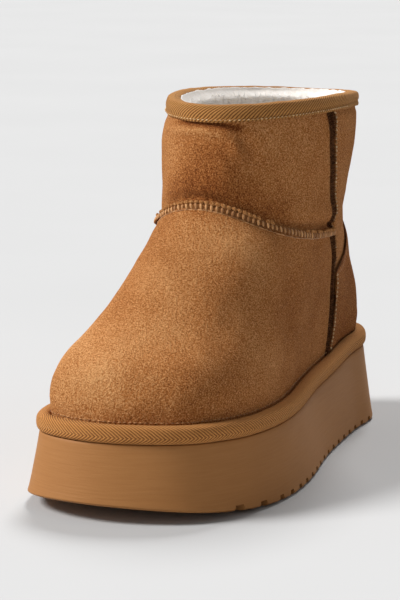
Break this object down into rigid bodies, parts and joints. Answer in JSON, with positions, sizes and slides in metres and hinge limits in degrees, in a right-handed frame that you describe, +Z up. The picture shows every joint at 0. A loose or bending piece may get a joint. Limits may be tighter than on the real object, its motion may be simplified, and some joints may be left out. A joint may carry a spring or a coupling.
{
  "type": "sheepskin ankle boot",
  "caption": "Left sheepskin ankle boot with a fleece lining, bound collar, raised instep seam, heel counter and flared platform sole.",
  "frame": {"origin": "on the floor, in the middle of the boot's length and width", "axes": "+Z up, the toe points to -Y and the heel to +Y, the outer side of the foot is +X"},
  "size_m": [0.114, 0.2717, 0.1813],
  "materials": {
    "foam": "matte moulded foam with faint level lines",
    "tape": "woven herringbone and twill tape",
    "fleece": "short curled wool",
    "suede": "napped suede",
    "raw_edge": "raw folded edge under whip stitches"
  },
  "bodies": {
    "root": {"platform_sole": "foam", "covered_band": "tape", "insole": "fleece", "upper": "suede", "heel_counter": "suede", "instep_seam": "raw_edge", "collar_binding": "tape"}
  },
  "joints": []
}
